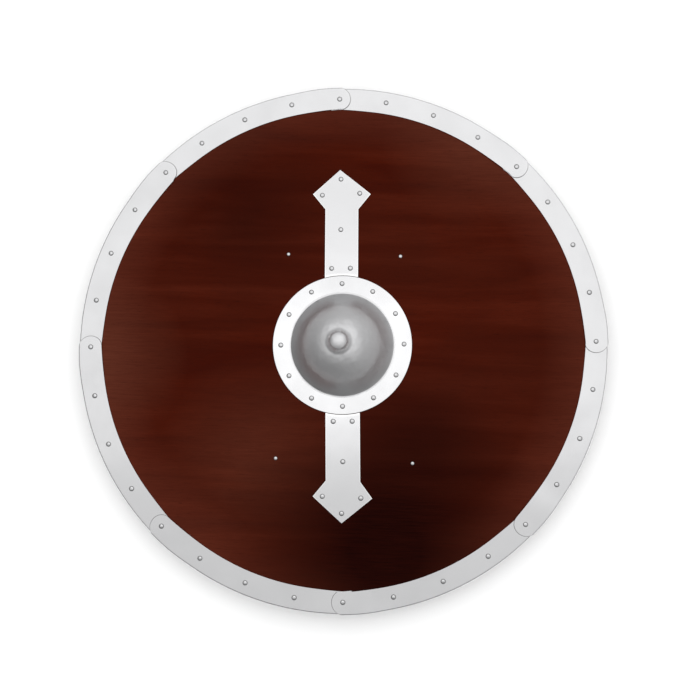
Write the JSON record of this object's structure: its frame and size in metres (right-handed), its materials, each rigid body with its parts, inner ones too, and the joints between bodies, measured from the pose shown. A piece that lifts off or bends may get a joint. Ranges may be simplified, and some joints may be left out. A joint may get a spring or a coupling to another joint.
{
  "type": "round shield",
  "caption": "Round wooden shield with a riveted steel rim, a domed steel boss, arrow-ended steel straps and leather arm straps behind.",
  "frame": {"origin": "on the surface the shield lies on, under the middle of the board", "axes": "+Z out of the front face, along the boss; +Y towards the top of the shield, along the steel straps; +X to the right seen from the front"},
  "size_m": [0.76, 0.76, 0.102],
  "materials": {
    "stained_wood": "dark mahogany stain under gloss lacquer",
    "polished_steel": "polished",
    "rivet_steel": "polished, domed",
    "strap_leather": "vegetable-tanned, dark brown, satin"
  },
  "bodies": {
    "root": {"board": "stained_wood", "rim_segment_1": "polished_steel", "rim_segment_2": "polished_steel", "rim_segment_3": "polished_steel", "rim_segment_4": "polished_steel", "rim_segment_5": "polished_steel", "rim_segment_6": "polished_steel", "rim_segment_7": "polished_steel", "rim_segment_8": "polished_steel", "boss": "polished_steel", "steel_strap_upper": "polished_steel", "steel_strap_lower": "polished_steel", "hand_strap": "strap_leather", "forearm_strap": "strap_leather", "boss_rivet_1": "rivet_steel", "boss_rivet_2": "rivet_steel", "boss_rivet_3": "rivet_steel", "boss_rivet_4": "rivet_steel", "boss_rivet_5": "rivet_steel", "boss_rivet_6": "rivet_steel", "boss_rivet_7": "rivet_steel", "boss_rivet_8": "rivet_steel", "boss_rivet_9": "rivet_steel", "boss_rivet_10": "rivet_steel", "boss_rivet_11": "rivet_steel", "boss_rivet_12": "rivet_steel", "steel_strap_upper_rivet_1": "rivet_steel", "steel_strap_upper_rivet_2": "rivet_steel", "steel_strap_upper_rivet_3": "rivet_steel", "steel_strap_upper_rivet_4": "rivet_steel", "steel_strap_upper_rivet_5": "rivet_steel", "steel_strap_upper_rivet_6": "rivet_steel", "steel_strap_lower_rivet_1": "rivet_steel", "steel_strap_lower_rivet_2": "rivet_steel", "steel_strap_lower_rivet_3": "rivet_steel", "steel_strap_lower_rivet_4": "rivet_steel", "steel_strap_lower_rivet_5": "rivet_steel", "steel_strap_lower_rivet_6": "rivet_steel", "hand_strap_rivet_1": "rivet_steel", "hand_strap_rivet_2": "rivet_steel", "forearm_strap_rivet_1": "rivet_steel", "forearm_strap_rivet_2": "rivet_steel"}
  },
  "joints": []
}
